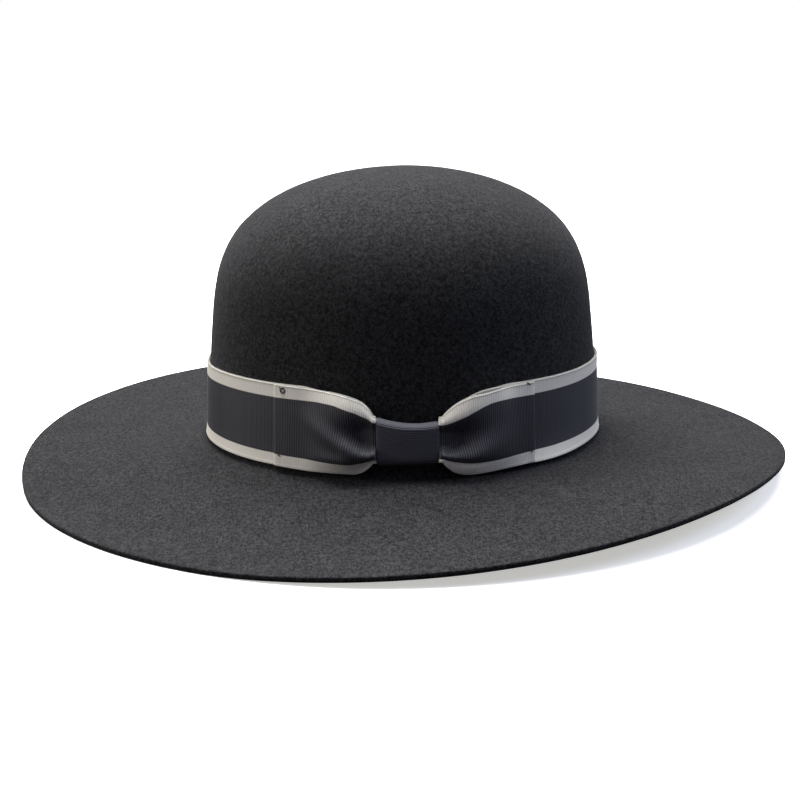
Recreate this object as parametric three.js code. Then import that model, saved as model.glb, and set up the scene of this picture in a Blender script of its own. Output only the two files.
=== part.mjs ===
// A felt hat with a round open crown and a wide waved brim, both blocked from one piece of felt,
// and a striped grosgrain ribbon with a flat bow round the foot of the crown.
// Millimetres. +Z is up and the bow faces -Y. The origin lies on the surface that the hat rests
// on, below the middle of the brim's outline.
import * as THREE from "three";

// Felt body
const FELT = 2.2; // thickness of the felt
const HALF_WIDTH = 88.5; // crown's outside half width at its foot, along X
const HALF_LENGTH = 98.5; // crown's outside half length at its foot, along Y
const CROWN_HEIGHT = 118.2; // from the foot of the ribbon to the top, along the crown's axis
const WALL_HEIGHT = 50; // the upright part of the crown, below the dome
const WALL_TAPER = 0.025; // share of the half width that is lost at the wall's height
const DOME_POWER = 3.5; // 2 would be a plain ellipse, more is fuller in the shoulder
const LEAN_BACK = 0.0256; // radians that the crown leans towards +Y
const LEAN_SIDE = 0.0067; // sideways shift to +X for each millimetre of height
const FOOT_HEIGHT = 13.15; // of the ribbon's lower edge above the surface, on the crown's axis
const BREAK_RADIUS = 3; // where the crown turns into the brim, on the outside
const BREAK_TOP = 0.5; // height of the upper end of that turn above the ribbon's lower edge
const BRIM_SIDE = 83.3; // brim's width at the left and right
const BRIM_END = 93.7; // brim's width at the front and back
const BRIM_CURL = 1.4; // more makes the brim steeper at the crown and flatter at its edge
const BRIM_EASE = 0.04; // share of the brim's width in which it turns down from the level
const EDGE_RISE = 4.1; // mean height of the brim's lower corner at the edge
const REST_BLEND = 0.5; // half the height over which the edge eases onto the surface
const RIM = 0.07; // share of the brim's width at its edge that one ring of facets takes
// The slow wave of the brim's edge: waves in one turn and their sizes, from +X towards +Y.
const EDGE_WAVES = [
  { waves: 2, cosine: 0.5, sine: -5.5 },
  { waves: 3, cosine: -0.3, sine: -0.3 },
  { waves: 4, cosine: -0.3, sine: 0.2 },
  { waves: 5, cosine: -0.5, sine: 0.1 },
];

// Ribbon
const RIBBON = 1; // thickness of the ribbon
const GAP = 0.3; // between the pieces
const RIBBON_WIDTH = 34.3;
const FRONT = Math.PI * 1.5; // where the front lies on the crown's oval
const KNOT_TURN = 0.018; // the knot's middle is this far round from the front, towards +X
const ARC_RADIUS = 92; // radius of the crown's oval at the front, through the bow's layers
const BAND_FACE = GAP + RIBBON; // the band's outer face, measured out from the felt
const KNOT_HALF = 12.2; // half the knot's width
const PINCH_HALF = 13.4; // the bow stays pinched as far as this from the knot's middle
const PINCH_DROP = 11.8; // how far the bow's upper edge is drawn down in the knot
const PINCH_RISE = 8; // how far its lower edge is drawn up there
const FLAT_BACK = BAND_FACE + GAP + RIBBON / 2; // middle of the bow's back layer at its ends
const PINCH_BACK = FLAT_BACK + RIBBON + GAP; // and in the knot, whose strip passes behind it
const LAYER_STEP = RIBBON + GAP; // from the middle of one layer to the next
const BAND_DRAW = 1; // how much more than the bow the band is drawn in behind the knot
const BAND_REACH = 26; // distance from the knot over which the band regains its full width
const BACK_REACH = 8; // and over which the bow's back layer comes down onto the band
const PLEAT = 2; // depth of the pleat beside the knot
const PLEAT_REACH = 19; // its length along the ribbon
const PLEAT_PLACE = 0.62; // its place up the ribbon's width
const PLEAT_SPREAD = 0.2; // its half width, as a share of the ribbon's
// The bow's two loops. Lengths run along the ribbon from the knot's middle, or from its side for
// the two reaches: over them the upper and the lower edge regain the ribbon's full width.
const LOOPS = [
  { side: -1, end: 57.5, bulge: 3.6, bulgeAt: 24, bulgeEnd: 47, topReach: 19, lowReach: 14 },
  { side: 1, end: 55.5, bulge: 5.2, bulgeAt: 28, bulgeEnd: 47, topReach: 20.5, lowReach: 12 },
];

// Facets
const ROUND = 72; // sections round the hat
const DOME_RINGS = 11;
const WALL_RINGS = 3;
const BREAK_RINGS = 4;
const BRIM_RINGS = 7;
const BOW_RINGS = 4; // up the ribbon's width

const clamp01 = (value) => THREE.MathUtils.clamp(value, 0, 1);
const X_AXIS = new THREE.Vector3(1, 0, 0);

// Moves a point of the upright crown to where the leaning crown has it.
function leaned(x, y, height) {
  const point = new THREE.Vector3(x + LEAN_SIDE * height, y, height);
  point.applyAxisAngle(X_AXIS, -LEAN_BACK);
  point.z += FOOT_HEIGHT;
  return point;
}

// The direction straight out of the crown's oval, seen from above.
function outward(angle) {
  return new THREE.Vector2(Math.cos(angle) / HALF_WIDTH, Math.sin(angle) / HALF_LENGTH).normalize();
}

// A point off the crown's wall, out millimetres from the felt, in the leaning crown.
function offWall(angle, height, scale, out) {
  const normal = outward(angle);
  const x = HALF_WIDTH * scale * Math.cos(angle) + normal.x * out;
  const y = HALF_LENGTH * scale * Math.sin(angle) + normal.y * out;
  return leaned(x, y, height);
}

function taper(height) {
  return 1 - WALL_TAPER * (height / WALL_HEIGHT) ** 2;
}

// Lets a height settle on the surface: what would be below it lies flat on it.
function settled(height) {
  if (height <= -REST_BLEND) return 0;
  if (height >= REST_BLEND) return height;
  return (height + REST_BLEND) ** 2 / (4 * REST_BLEND);
}

// Height of the brim's lower corner at its edge, before it settles.
function edgeHeight(angle) {
  let height = EDGE_RISE;
  for (const { waves, cosine, sine } of EDGE_WAVES) {
    height += cosine * Math.cos(waves * angle) + sine * Math.sin(waves * angle);
  }
  return height;
}

// Top of the brim, share 0 at the break and 1 at the edge.
function brimTop(angle, share) {
  const root = offWall(angle, BREAK_TOP - BREAK_RADIUS, 1, BREAK_RADIUS);
  const width = BRIM_SIDE + (BRIM_END - BRIM_SIDE) * Math.sin(angle) ** 2;
  const normal = outward(angle);
  const edgeX = HALF_WIDTH * Math.cos(angle) + normal.x * width;
  const edgeY = HALF_LENGTH * Math.sin(angle) + normal.y * width;
  const eased = (share ** 2 / (share + BRIM_EASE)) * (1 + BRIM_EASE);
  const left = (1 - eased) ** BRIM_CURL;
  const edgeZ = edgeHeight(angle) + FELT;
  const z = edgeZ + (root.z - edgeZ) * left;
  return new THREE.Vector3(
    THREE.MathUtils.lerp(root.x, edgeX, share),
    THREE.MathUtils.lerp(root.y, edgeY, share),
    FELT + settled(z - FELT),
  );
}

// Outside of the felt. Station runs from 0 at the top of the crown to 1 at the foot of the dome,
// 2 at the foot of the wall, 3 at the brim's root and 4 at its edge.
function feltTop(angle, station) {
  if (station <= 1) {
    const turn = (station * Math.PI) / 2;
    const rise = Math.max(Math.cos(turn), 0) ** (2 / DOME_POWER);
    const height = WALL_HEIGHT + (CROWN_HEIGHT - WALL_HEIGHT) * rise;
    return offWall(angle, height, taper(height) * Math.sin(turn), 0);
  }
  if (station <= 2) {
    const height = THREE.MathUtils.lerp(WALL_HEIGHT, BREAK_TOP, station - 1);
    return offWall(angle, height, taper(height), 0);
  }
  if (station <= 3) {
    const turn = ((station - 2) * Math.PI) / 2;
    const height = BREAK_TOP - BREAK_RADIUS * Math.sin(turn);
    return offWall(angle, height, taper(BREAK_TOP), BREAK_RADIUS * (1 - Math.cos(turn)));
  }
  return brimTop(angle, station - 3);
}

// The same point on the inside of the felt, one thickness in along the surface's normal.
function feltUnder(angle, station) {
  const step = 1e-3;
  const along = feltTop(angle, Math.min(station + step, 4)).sub(feltTop(angle, station - step));
  const around = feltTop(angle + step, station).sub(feltTop(angle - step, station));
  const normal = along.cross(around).normalize();
  return feltTop(angle, station).addScaledVector(normal, -FELT);
}

function facets(points, triangles) {
  const geometry = new THREE.BufferGeometry();
  geometry.setAttribute("position", new THREE.Float32BufferAttribute(points.flatMap((p) => p.toArray()), 3));
  geometry.setIndex(triangles);
  geometry.computeVertexNormals();
  return geometry;
}

// The felt as a closed shell: rings of the outside from the top to the brim's edge, then rings of
// the inside back to the top.
function feltGeometry() {
  const stations = [];
  for (let i = 1; i <= DOME_RINGS; i++) stations.push(i / DOME_RINGS);
  for (let i = 1; i <= WALL_RINGS; i++) stations.push(1 + i / WALL_RINGS);
  for (let i = 1; i <= BREAK_RINGS; i++) stations.push(2 + i / BREAK_RINGS);
  for (let i = 1; i <= BRIM_RINGS; i++) stations.push(3 + (1 - RIM) * (i / BRIM_RINGS));
  stations.push(4);
  const rings = [
    ...stations.map((station) => (angle) => feltTop(angle, station)),
    ...stations.reverse().map((station) => (angle) => feltUnder(angle, station)),
  ];
  const points = [leaned(0, 0, CROWN_HEIGHT)];
  for (const ring of rings) {
    for (let i = 0; i < ROUND; i++) points.push(ring((i / ROUND) * Math.PI * 2));
  }
  points.push(leaned(0, 0, CROWN_HEIGHT - FELT));
  const last = points.length - 1;
  const triangles = [];
  for (let i = 0; i < ROUND; i++) {
    const next = (i + 1) % ROUND;
    triangles.push(0, 1 + i, 1 + next);
    for (let ring = 0; ring < rings.length - 1; ring++) {
      const start = 1 + ring * ROUND;
      const a = start + i;
      const b = start + next;
      triangles.push(a, a + ROUND, b + ROUND, a, b + ROUND, b);
    }
    triangles.push(last, last - ROUND + next, last - ROUND + i);
  }
  return facets(points, triangles);
}

// A closed strip: sections along its path, each a closed ring of points.
function stripGeometry(sections) {
  const count = sections[0].length;
  const triangles = [];
  sections.forEach((section, i) => {
    const start = i * count;
    const after = ((i + 1) % sections.length) * count;
    for (let j = 0; j < count; j++) {
      const next = (j + 1) % count;
      triangles.push(start + j, after + j, after + next, start + j, after + next, start + next);
    }
  });
  return facets(sections.flat(), triangles);
}

// A point of the ribbon's pieces: along the ribbon from the knot's middle, up from the ribbon's
// lower edge and out from the felt.
function onRibbon(along, height, out) {
  return offWall(FRONT + KNOT_TURN + along / ARC_RADIUS, height, taper(height), out);
}

// How much of the knot's pull is left: 1 in the pinch, and 0 past its reach from there.
function pull(along, reach) {
  return (1 - clamp01((Math.abs(along) - PINCH_HALF) / reach)) ** 2;
}

function bandGeometry() {
  const sections = [];
  for (let i = 0; i < ROUND; i++) {
    const turn = ((i / ROUND) * 2 - 1) * Math.PI;
    const along = turn * ARC_RADIUS;
    const drawn = pull(along, BAND_REACH);
    const low = (PINCH_RISE + BAND_DRAW) * drawn;
    const high = RIBBON_WIDTH - (PINCH_DROP + BAND_DRAW) * drawn;
    const middle = (low + high) / 2;
    sections.push([
      ...[low, middle, high].map((height) => onRibbon(along, height, BAND_FACE)),
      ...[high, middle, low].map((height) => onRibbon(along, height, GAP)),
    ]);
  }
  return stripGeometry(sections);
}

function loopAt(along) {
  return along < 0 ? LOOPS[0] : LOOPS[1];
}

// Middle of the bow's back layer, which lies on the band and lifts over the knot's strip.
function backLayer(along) {
  return FLAT_BACK + (PINCH_BACK - FLAT_BACK) * pull(along, BACK_REACH);
}

// Middle of its front layer, which bulges between the knot and the folded end.
function frontLayer(along, share) {
  const { bulge, bulgeAt, bulgeEnd } = loopAt(along);
  const distance = Math.abs(along);
  const rising = (distance - PINCH_HALF) / (bulgeAt - PINCH_HALF);
  const falling = (bulgeEnd - distance) / (bulgeEnd - bulgeAt);
  const swell = Math.sin((Math.PI / 2) * clamp01(Math.min(rising, falling))) ** 2;
  const beside = clamp01((distance - PINCH_HALF) / PLEAT_REACH) ** 0.6;
  const across = Math.exp(-(((share - PLEAT_PLACE) / PLEAT_SPREAD) ** 2));
  const pleat = PLEAT * Math.sin(Math.PI * beside) * across;
  return backLayer(along) + LAYER_STEP + bulge * swell - pleat;
}

// Numbers from one value up to, but not with, another.
function spaced(from, to, steps) {
  return Array.from({ length: steps }, (_, i) => THREE.MathUtils.lerp(from, to, i / steps));
}

// The bow is one flattened loop of ribbon: its path runs along the front layer, round the fold at
// one end, back along the back layer and round the fold at the other end.
function bowPath() {
  const [left, right] = LOOPS.map(({ side, end }) => side * end);
  const loopSteps = 20;
  const pinchSteps = 6;
  const foldSteps = 4;
  const lift = PINCH_HALF + BACK_REACH;
  const front = [
    ...spaced(left, -PINCH_HALF, loopSteps),
    ...spaced(-PINCH_HALF, PINCH_HALF, pinchSteps),
    ...spaced(PINCH_HALF, right, loopSteps),
  ];
  const back = [
    ...spaced(right, lift, foldSteps),
    ...spaced(lift, PINCH_HALF, foldSteps),
    ...spaced(PINCH_HALF, -PINCH_HALF, pinchSteps),
    ...spaced(-PINCH_HALF, -lift, foldSteps),
    ...spaced(-lift, left, foldSteps),
  ];
  return [
    ...front.map((along) => ({ along, front: true, turn: 0 })),
    ...spaced(0, Math.PI, foldSteps).map((turn) => ({ along: right, turn })),
    ...back.map((along) => ({ along, turn: Math.PI })),
    ...spaced(Math.PI, Math.PI * 2, foldSteps).map((turn) => ({ along: left, turn })),
  ];
}

// One point of the bow's ribbon, face 1 on its outer side and -1 on its inner side.
function onBow({ along, front, turn }, share, face) {
  const { topReach, lowReach } = loopAt(along);
  const low = PINCH_RISE * pull(along, lowReach);
  const high = RIBBON_WIDTH - PINCH_DROP * pull(along, topReach);
  const height = THREE.MathUtils.lerp(low, high, share);
  if (front) {
    const slope = (frontLayer(along + 0.1, share) - frontLayer(along - 0.1, share)) / 0.2;
    const normal = new THREE.Vector2(-slope, 1).normalize().multiplyScalar((face * RIBBON) / 2);
    return onRibbon(along + normal.x, height, frontLayer(along, share) + normal.y);
  }
  const fold = (LAYER_STEP + face * RIBBON) / 2;
  const out = backLayer(along) + LAYER_STEP / 2 + fold * Math.cos(turn);
  return onRibbon(along + fold * Math.sin(turn), height, out);
}

function bowGeometry() {
  const shares = [...spaced(0, 1, BOW_RINGS), 1];
  const downwards = [...shares].reverse();
  const sections = bowPath().map((place) => [
    ...shares.map((share) => onBow(place, share, 1)),
    ...downwards.map((share) => onBow(place, share, -1)),
  ]);
  return stripGeometry(sections);
}

// A rectangle with round corners in the plane of height and outward distance, as points.
function roundedBox(low, high, inner, outer, radius) {
  const steps = 3;
  const corners = [
    { height: high - radius, out: outer - radius, start: 0 },
    { height: high - radius, out: inner + radius, start: 1 },
    { height: low + radius, out: inner + radius, start: 2 },
    { height: low + radius, out: outer - radius, start: 3 },
  ];
  return corners.flatMap(({ height, out, start }) =>
    Array.from({ length: steps + 1 }, (_, i) => {
      const turn = ((start + i / steps) * Math.PI) / 2;
      return { height: height + radius * Math.sin(turn), out: out + radius * Math.cos(turn) };
    }),
  );
}

// The knot is a ring of plain ribbon round both layers of the bow.
function knotGeometry() {
  const cornerRadius = 1.9;
  const widthSteps = 6;
  const low = PINCH_RISE - GAP;
  const high = RIBBON_WIDTH - PINCH_DROP + GAP;
  const inner = PINCH_BACK - RIBBON / 2 - GAP;
  const outer = PINCH_BACK + LAYER_STEP + RIBBON / 2 + GAP;
  const inside = roundedBox(low, high, inner, outer, cornerRadius - RIBBON);
  const outside = roundedBox(low - RIBBON, high + RIBBON, inner - RIBBON, outer + RIBBON, cornerRadius);
  const places = [...spaced(-KNOT_HALF, KNOT_HALF, widthSteps), KNOT_HALF];
  const backwards = [...places].reverse();
  const sections = outside.map((point, i) => [
    ...backwards.map((along) => onRibbon(along, point.height, point.out)),
    ...places.map((along) => onRibbon(along, inside[i].height, inside[i].out)),
  ]);
  return stripGeometry(sections);
}

function piece(name, geometry, color, roughness) {
  const material = new THREE.MeshStandardMaterial({ color, roughness, metalness: 0 });
  const mesh = new THREE.Mesh(geometry, material);
  mesh.name = name;
  return mesh;
}

const hat = new THREE.Group();
hat.add(piece("felt_body", feltGeometry(), 0x2b2b2d, 0.95));
hat.add(piece("ribbon_band", bandGeometry(), 0xb5ae9c, 0.6));
hat.add(piece("bow", bowGeometry(), 0xbdb6a6, 0.6));
hat.add(piece("bow_knot", knotGeometry(), 0x26262c, 0.6));

export default hat;
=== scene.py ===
import math
import bpy
import numpy as np
from mathutils import Matrix, Vector, noise


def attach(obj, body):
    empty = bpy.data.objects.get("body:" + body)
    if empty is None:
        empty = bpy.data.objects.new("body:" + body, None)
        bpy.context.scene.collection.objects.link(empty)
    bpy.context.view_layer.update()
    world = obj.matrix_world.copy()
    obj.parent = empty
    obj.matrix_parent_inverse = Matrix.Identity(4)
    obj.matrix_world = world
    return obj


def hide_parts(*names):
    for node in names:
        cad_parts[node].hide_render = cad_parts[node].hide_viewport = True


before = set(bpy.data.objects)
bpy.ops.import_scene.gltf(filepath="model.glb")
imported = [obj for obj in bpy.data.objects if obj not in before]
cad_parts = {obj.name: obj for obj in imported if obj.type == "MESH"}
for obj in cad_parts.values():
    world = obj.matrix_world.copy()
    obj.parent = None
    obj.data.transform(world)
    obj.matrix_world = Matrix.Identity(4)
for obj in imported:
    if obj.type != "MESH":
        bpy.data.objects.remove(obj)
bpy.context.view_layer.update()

# Felt body
# The hat itself: one hood of charcoal wool felt, steamed and blocked into a round open crown and
# a wide brim. The brim's edge is cut and left raw, and it waves slowly round the hat.
FELT = 0.0022  # thickness
HALF_WIDTH = 0.0885  # of the crown's outside oval at its foot
HALF_LENGTH = 0.0985
CROWN_HEIGHT = 0.1182
WALL_HEIGHT = 0.050  # where the wall ends and the dome starts
WALL_TAPER = 0.025  # share by which the oval is smaller there
DOME_POWER = 3.5  # 2 is a half ellipse, and more is fuller at the shoulders
LEAN_BACK = 0.0256  # radians
LEAN_SIDE = 0.0067
FOOT_HEIGHT = 0.01315  # of the crown's foot above the surface
BREAK_RADIUS = 0.003  # of the turn from the wall to the brim
BREAK_TOP = 0.0005  # height where this turn starts, from the crown's foot
BRIM_SIDE = 0.0833  # the brim's width at the sides
BRIM_END = 0.0937  # and at the front and back
BRIM_CURL = 1.4  # 1 is a straight slope from the crown to the edge
BRIM_EASE = 0.04  # share of the width over which the slope begins
EDGE_RISE = 0.0041  # mean height of the edge's lower side
REST_BLEND = 0.0005  # how softly the brim meets the surface
EDGE_WAVES = (  # waves in one turn, cosine, sine
    (2, 0.0005, -0.0055),
    (3, -0.0003, -0.0003),
    (4, -0.0003, 0.0002),
    (5, -0.0005, 0.0001),
)
FELT_ROUND = 400  # columns round the hat
OUTSIDE_RINGS = (56, 14, 6, 60)  # of dome, wall, break and brim
INSIDE_RINGS = (24, 6, 5, 30)
LAST_STATION = 3.98  # of the rings before the cut edge, which is station 4
EDGE_ROWS = 9
EDGE_SQUARE = 0.6  # 1 is a round cut edge, and less is squarer
EDGE_SOFTNESS = 0.0005  # rounding of its corners
FELT_DENTS = (  # how many to a metre, shift of the pattern, height
    (22, (0, 0, 0), 0.00018),
    (75, (3, 1, 7), 0.000063),
    (330, (5, 2, 4), 0.00009),
)
LEVEL_BELOW = 1.4 * FELT  # no dents lower than this, where the brim lies on the surface
STRANDS = (  # turn of the strands' direction, how many to a metre
    ((0.4, 0.3, 0.2), 1750),
    ((1.3, 0.9, 1.7), 2000),
    ((2.4, 1.9, 0.7), 1500),
)
STRAND_SQUEEZE = (1, 0.26, 1)
FELT_SHADE = (0.0012, 0.0012, 0.0015)  # between the strands
FELT_NAP = (0.0310, 0.0310, 0.0325)  # on top of them
FELT_PATCH = (0.82, 0.82, 0.84)
LINT = (0.11, 0.105, 0.10)
FELT_SHEEN = (0.32, 0.32, 0.34)
NO_TINT = (1, 1, 1)


def leaned(x, y, height):
    """A point of the upright crown where the leaning crown has it."""
    x = x + LEAN_SIDE * height
    cos, sin = math.cos(LEAN_BACK), math.sin(LEAN_BACK)
    return np.stack([x, y * cos + height * sin, height * cos - y * sin + FOOT_HEIGHT], axis=-1)


def outward(angle):
    """The direction straight out of the crown's oval, seen from above."""
    x, y = np.cos(angle) / HALF_WIDTH, np.sin(angle) / HALF_LENGTH
    length = np.hypot(x, y)
    return x / length, y / length


def off_wall(angle, height, scale, out):
    """A point off the crown's wall, out from the felt."""
    normal_x, normal_y = outward(angle)
    x = HALF_WIDTH * scale * np.cos(angle) + normal_x * out
    y = HALF_LENGTH * scale * np.sin(angle) + normal_y * out
    return leaned(x, y, height + 0 * x)


def taper(height):
    """Size of the crown's oval at a height, 1 at its foot."""
    return 1 - WALL_TAPER * (height / WALL_HEIGHT) ** 2


def settled(height):
    """What would lie below the surface lies flat on it."""
    blend = (height + REST_BLEND) ** 2 / (4 * REST_BLEND)
    return np.where(height <= -REST_BLEND, 0, np.where(height >= REST_BLEND, height, blend))


def edge_height(angle):
    """Height of the edge's lower side as the waves have it."""
    waves = sum(c * np.cos(n * angle) + s * np.sin(n * angle) for n, c, s in EDGE_WAVES)
    return EDGE_RISE + waves


def brim_top(angle, share):
    """Top of the brim, share 0 at the break and 1 at the edge."""
    root = off_wall(angle, BREAK_TOP - BREAK_RADIUS, 1, BREAK_RADIUS)
    width = BRIM_SIDE + (BRIM_END - BRIM_SIDE) * np.sin(angle) ** 2
    normal_x, normal_y = outward(angle)
    edge_x = HALF_WIDTH * np.cos(angle) + normal_x * width
    edge_y = HALF_LENGTH * np.sin(angle) + normal_y * width
    eased = share**2 / (share + BRIM_EASE) * (1 + BRIM_EASE)
    left = max(1 - eased, 0) ** BRIM_CURL
    edge_z = edge_height(angle) + FELT
    z = edge_z + (root[..., 2] - edge_z) * left
    x = root[..., 0] + (edge_x - root[..., 0]) * share
    y = root[..., 1] + (edge_y - root[..., 1]) * share
    return np.stack([x, y, FELT + settled(z - FELT)], axis=-1)


def felt_top(angle, station):
    """Outside of the felt: station 0 is the crown's top, 1 the dome's foot, 2 the wall's foot,
    3 the brim's root and 4 its edge."""
    if station <= 1:
        turn = station * math.pi / 2
        rise = max(math.cos(turn), 0) ** (2 / DOME_POWER)
        height = WALL_HEIGHT + (CROWN_HEIGHT - WALL_HEIGHT) * rise
        return off_wall(angle, height, taper(height) * math.sin(turn), 0)
    if station <= 2:
        height = WALL_HEIGHT + (BREAK_TOP - WALL_HEIGHT) * (station - 1)
        return off_wall(angle, height, taper(height), 0)
    if station <= 3:
        turn = (station - 2) * math.pi / 2
        height = BREAK_TOP - BREAK_RADIUS * math.sin(turn)
        return off_wall(angle, height, taper(BREAK_TOP), BREAK_RADIUS * (1 - math.cos(turn)))
    return brim_top(angle, station - 3)


def felt_normal(angle, station):
    """The direction straight out of the felt's outside."""
    step = 1e-3
    along = felt_top(angle, min(station + step, 4)) - felt_top(angle, station - step)
    around = felt_top(angle + step, station) - felt_top(angle - step, station)
    normal = np.cross(along, around)
    return normal / np.linalg.norm(normal, axis=-1, keepdims=True)


def stations_of(rings):
    """Stations from the crown's top almost to the edge, for a number of rings in each part."""
    stations = []
    for part, count in enumerate(rings):
        stations += [part + (i + 1) / count for i in range(count)]
    return [min(station, LAST_STATION) for station in stations]


def unevenness(points, normals):
    """The points moved along their normals by the slow dents and small lumps of blocked felt."""
    moved = points.copy()
    for i, point in enumerate(points):
        place = Vector(point)
        height = sum(size * noise.noise(place * rate + Vector(shift)) for rate, shift, size in FELT_DENTS)
        moved[i] += normals[i] * height
    moved[:, 2] = np.where(points[:, 2] < LEVEL_BELOW, points[:, 2], moved[:, 2])
    return moved


def piece_of(name, points, faces):
    """A smooth mesh object at the origin."""
    mesh = bpy.data.meshes.new(name)
    mesh.from_pydata([tuple(p) for p in points], [], faces)
    mesh.polygons.foreach_set("use_smooth", [True] * len(mesh.polygons))
    mesh.update()
    made = bpy.data.objects.new(name, mesh)
    bpy.context.scene.collection.objects.link(made)
    return made


felt_angles = np.arange(FELT_ROUND) / FELT_ROUND * 2 * math.pi
felt_rings = []
felt_ring_normals = []
for station in stations_of(OUTSIDE_RINGS):
    felt_rings.append(felt_top(felt_angles, station))
    felt_ring_normals.append(felt_normal(felt_angles, station))
edge_top = felt_top(felt_angles, 4)
edge_normal = felt_normal(felt_angles, 4)
edge_out = edge_top - felt_top(felt_angles, 3.99)
edge_out /= np.linalg.norm(edge_out, axis=-1, keepdims=True)
for turn in np.linspace(0, math.pi, EDGE_ROWS):  # the raw edge, square with soft corners
    drop = (1 - math.copysign(abs(math.cos(turn)) ** EDGE_SQUARE, math.cos(turn))) / 2
    inset = 2 * EDGE_SOFTNESS * (1 - math.sin(turn) ** 0.5)
    felt_rings.append(edge_top - edge_out * inset - edge_normal * FELT * drop)
    felt_ring_normals.append(edge_out)
for station in reversed(stations_of(INSIDE_RINGS)):
    normal = felt_normal(felt_angles, station)
    felt_rings.append(felt_top(felt_angles, station) - normal * FELT)
    felt_ring_normals.append(-normal)
felt_points = unevenness(np.concatenate(felt_rings), np.concatenate(felt_ring_normals))
crown_top = leaned(np.array([0.0]), np.array([0.0]), np.array([CROWN_HEIGHT]))
crown_under = leaned(np.array([0.0]), np.array([0.0]), np.array([CROWN_HEIGHT - FELT]))
felt_points = np.concatenate([crown_top, felt_points, crown_under])
felt_faces = []
last_point = len(felt_points) - 1
for i in range(FELT_ROUND):
    after = (i + 1) % FELT_ROUND
    felt_faces.append((0, 1 + i, 1 + after))
    felt_faces.append((last_point, last_point - FELT_ROUND + after, last_point - FELT_ROUND + i))
    for ring in range(len(felt_rings) - 1):
        start = 1 + ring * FELT_ROUND
        felt_faces.append((start + i, start + FELT_ROUND + i, start + FELT_ROUND + after, start + after))
felt = piece_of("felt_hat_body", felt_points, felt_faces)


def math_node(tree, operation, first, second=None):
    """A calculation with one or two values, each a number or a socket."""
    made = tree.nodes.new("ShaderNodeMath")
    made.operation = operation
    for socket, value in zip(made.inputs, (first, second)):
        if value is None:
            continue
        if isinstance(value, (int, float)):
            socket.default_value = value
        else:
            tree.links.new(value, socket)
    return made.outputs[0]


def weighed(tree, first, second, share):
    """Two values added, a share of the first and the rest of the second."""
    kept = math_node(tree, "MULTIPLY", first, share)
    return math_node(tree, "ADD", kept, math_node(tree, "MULTIPLY", second, 1 - share))


def ramp_node(tree, factor, stops):
    """A colour ramp with (place, colour) stops."""
    made = tree.nodes.new("ShaderNodeValToRGB")
    while len(made.color_ramp.elements) < len(stops):
        made.color_ramp.elements.new(0.5)
    for element, (place, colour) in zip(made.color_ramp.elements, stops):
        element.position = place
        element.color = (*colour, 1)
    tree.links.new(factor, made.inputs[0])
    return made.outputs[0]


def mix_colour(tree, factor, first, second, blend="MIX"):
    """Two colours mixed, each a colour or a socket."""
    made = tree.nodes.new("ShaderNodeMix")
    made.data_type = "RGBA"
    made.blend_type = blend
    for socket, value in ((made.inputs[0], factor), (made.inputs[6], first), (made.inputs[7], second)):
        if isinstance(value, (int, float)):
            socket.default_value = value
        elif isinstance(value, tuple):
            socket.default_value = (*value, 1)
        else:
            tree.links.new(value, socket)
    return made.outputs[2]


def noise_node(tree, place, rate, detail, roughness, distortion=0.0):
    """Noise with so many spots to a metre."""
    made = tree.nodes.new("ShaderNodeTexNoise")
    made.inputs["Scale"].default_value = rate
    made.inputs["Detail"].default_value = detail
    made.inputs["Roughness"].default_value = roughness
    made.inputs["Distortion"].default_value = distortion
    tree.links.new(place, made.inputs["Vector"])
    return made.outputs["Fac"]


def stretched(tree, place, turn, squeeze):
    """The same coordinates turned and squeezed, so that noise becomes strands one way."""
    made = tree.nodes.new("ShaderNodeMapping")
    made.inputs["Rotation"].default_value = turn
    made.inputs["Scale"].default_value = squeeze
    tree.links.new(place, made.inputs["Vector"])
    return made.outputs[0]


def set_bump(tree, height, strength, distance):
    """Relief of a material's surface from a height."""
    made = tree.nodes.new("ShaderNodeBump")
    made.inputs["Strength"].default_value = strength
    made.inputs["Distance"].default_value = distance
    tree.links.new(height, made.inputs["Height"])
    tree.links.new(made.outputs[0], tree.nodes["Principled BSDF"].inputs["Normal"])


felt_material = bpy.data.materials.new("charcoal_wool_felt")
felt_material.use_nodes = True
tree = felt_material.node_tree
shader = tree.nodes["Principled BSDF"]
place = tree.nodes.new("ShaderNodeTexCoord").outputs["Object"]
layers = []
for turn, rate in STRANDS:
    layers.append(noise_node(tree, stretched(tree, place, turn, STRAND_SQUEEZE), rate, 3, 0.6, 0.6))
strands = math_node(tree, "MAXIMUM", math_node(tree, "MAXIMUM", layers[0], layers[1]), layers[2])
mottle = noise_node(tree, place, 620, 5, 0.6)
nap_height = weighed(tree, strands, mottle, 0.65)
nap_colour = ramp_node(tree, nap_height, [(0.475, FELT_SHADE), (0.625, FELT_NAP)])
patches = noise_node(tree, place, 60, 3, 0.5)
patch_colour = ramp_node(tree, patches, [(0.3, FELT_PATCH), (0.7, NO_TINT)])
felt_colour = mix_colour(tree, 1.0, nap_colour, patch_colour, "MULTIPLY")
lint = noise_node(tree, place, 900, 1, 0.4)
lint_mask = ramp_node(tree, lint, [(0.79, (0, 0, 0)), (0.83, (1, 1, 1))])
felt_colour = mix_colour(tree, lint_mask, felt_colour, LINT)
tree.links.new(felt_colour, shader.inputs["Base Color"])
shader.inputs["Roughness"].default_value = 0.95
shader.inputs["Specular IOR Level"].default_value = 0.12
shader.inputs["Sheen Weight"].default_value = 0.10
shader.inputs["Sheen Roughness"].default_value = 0.45
shader.inputs["Sheen Tint"].default_value = (*FELT_SHEEN, 1)
set_bump(tree, nap_height, 0.8, 0.00035)
felt.data.materials.append(felt_material)
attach(felt, "root")
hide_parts("felt_body")

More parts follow.
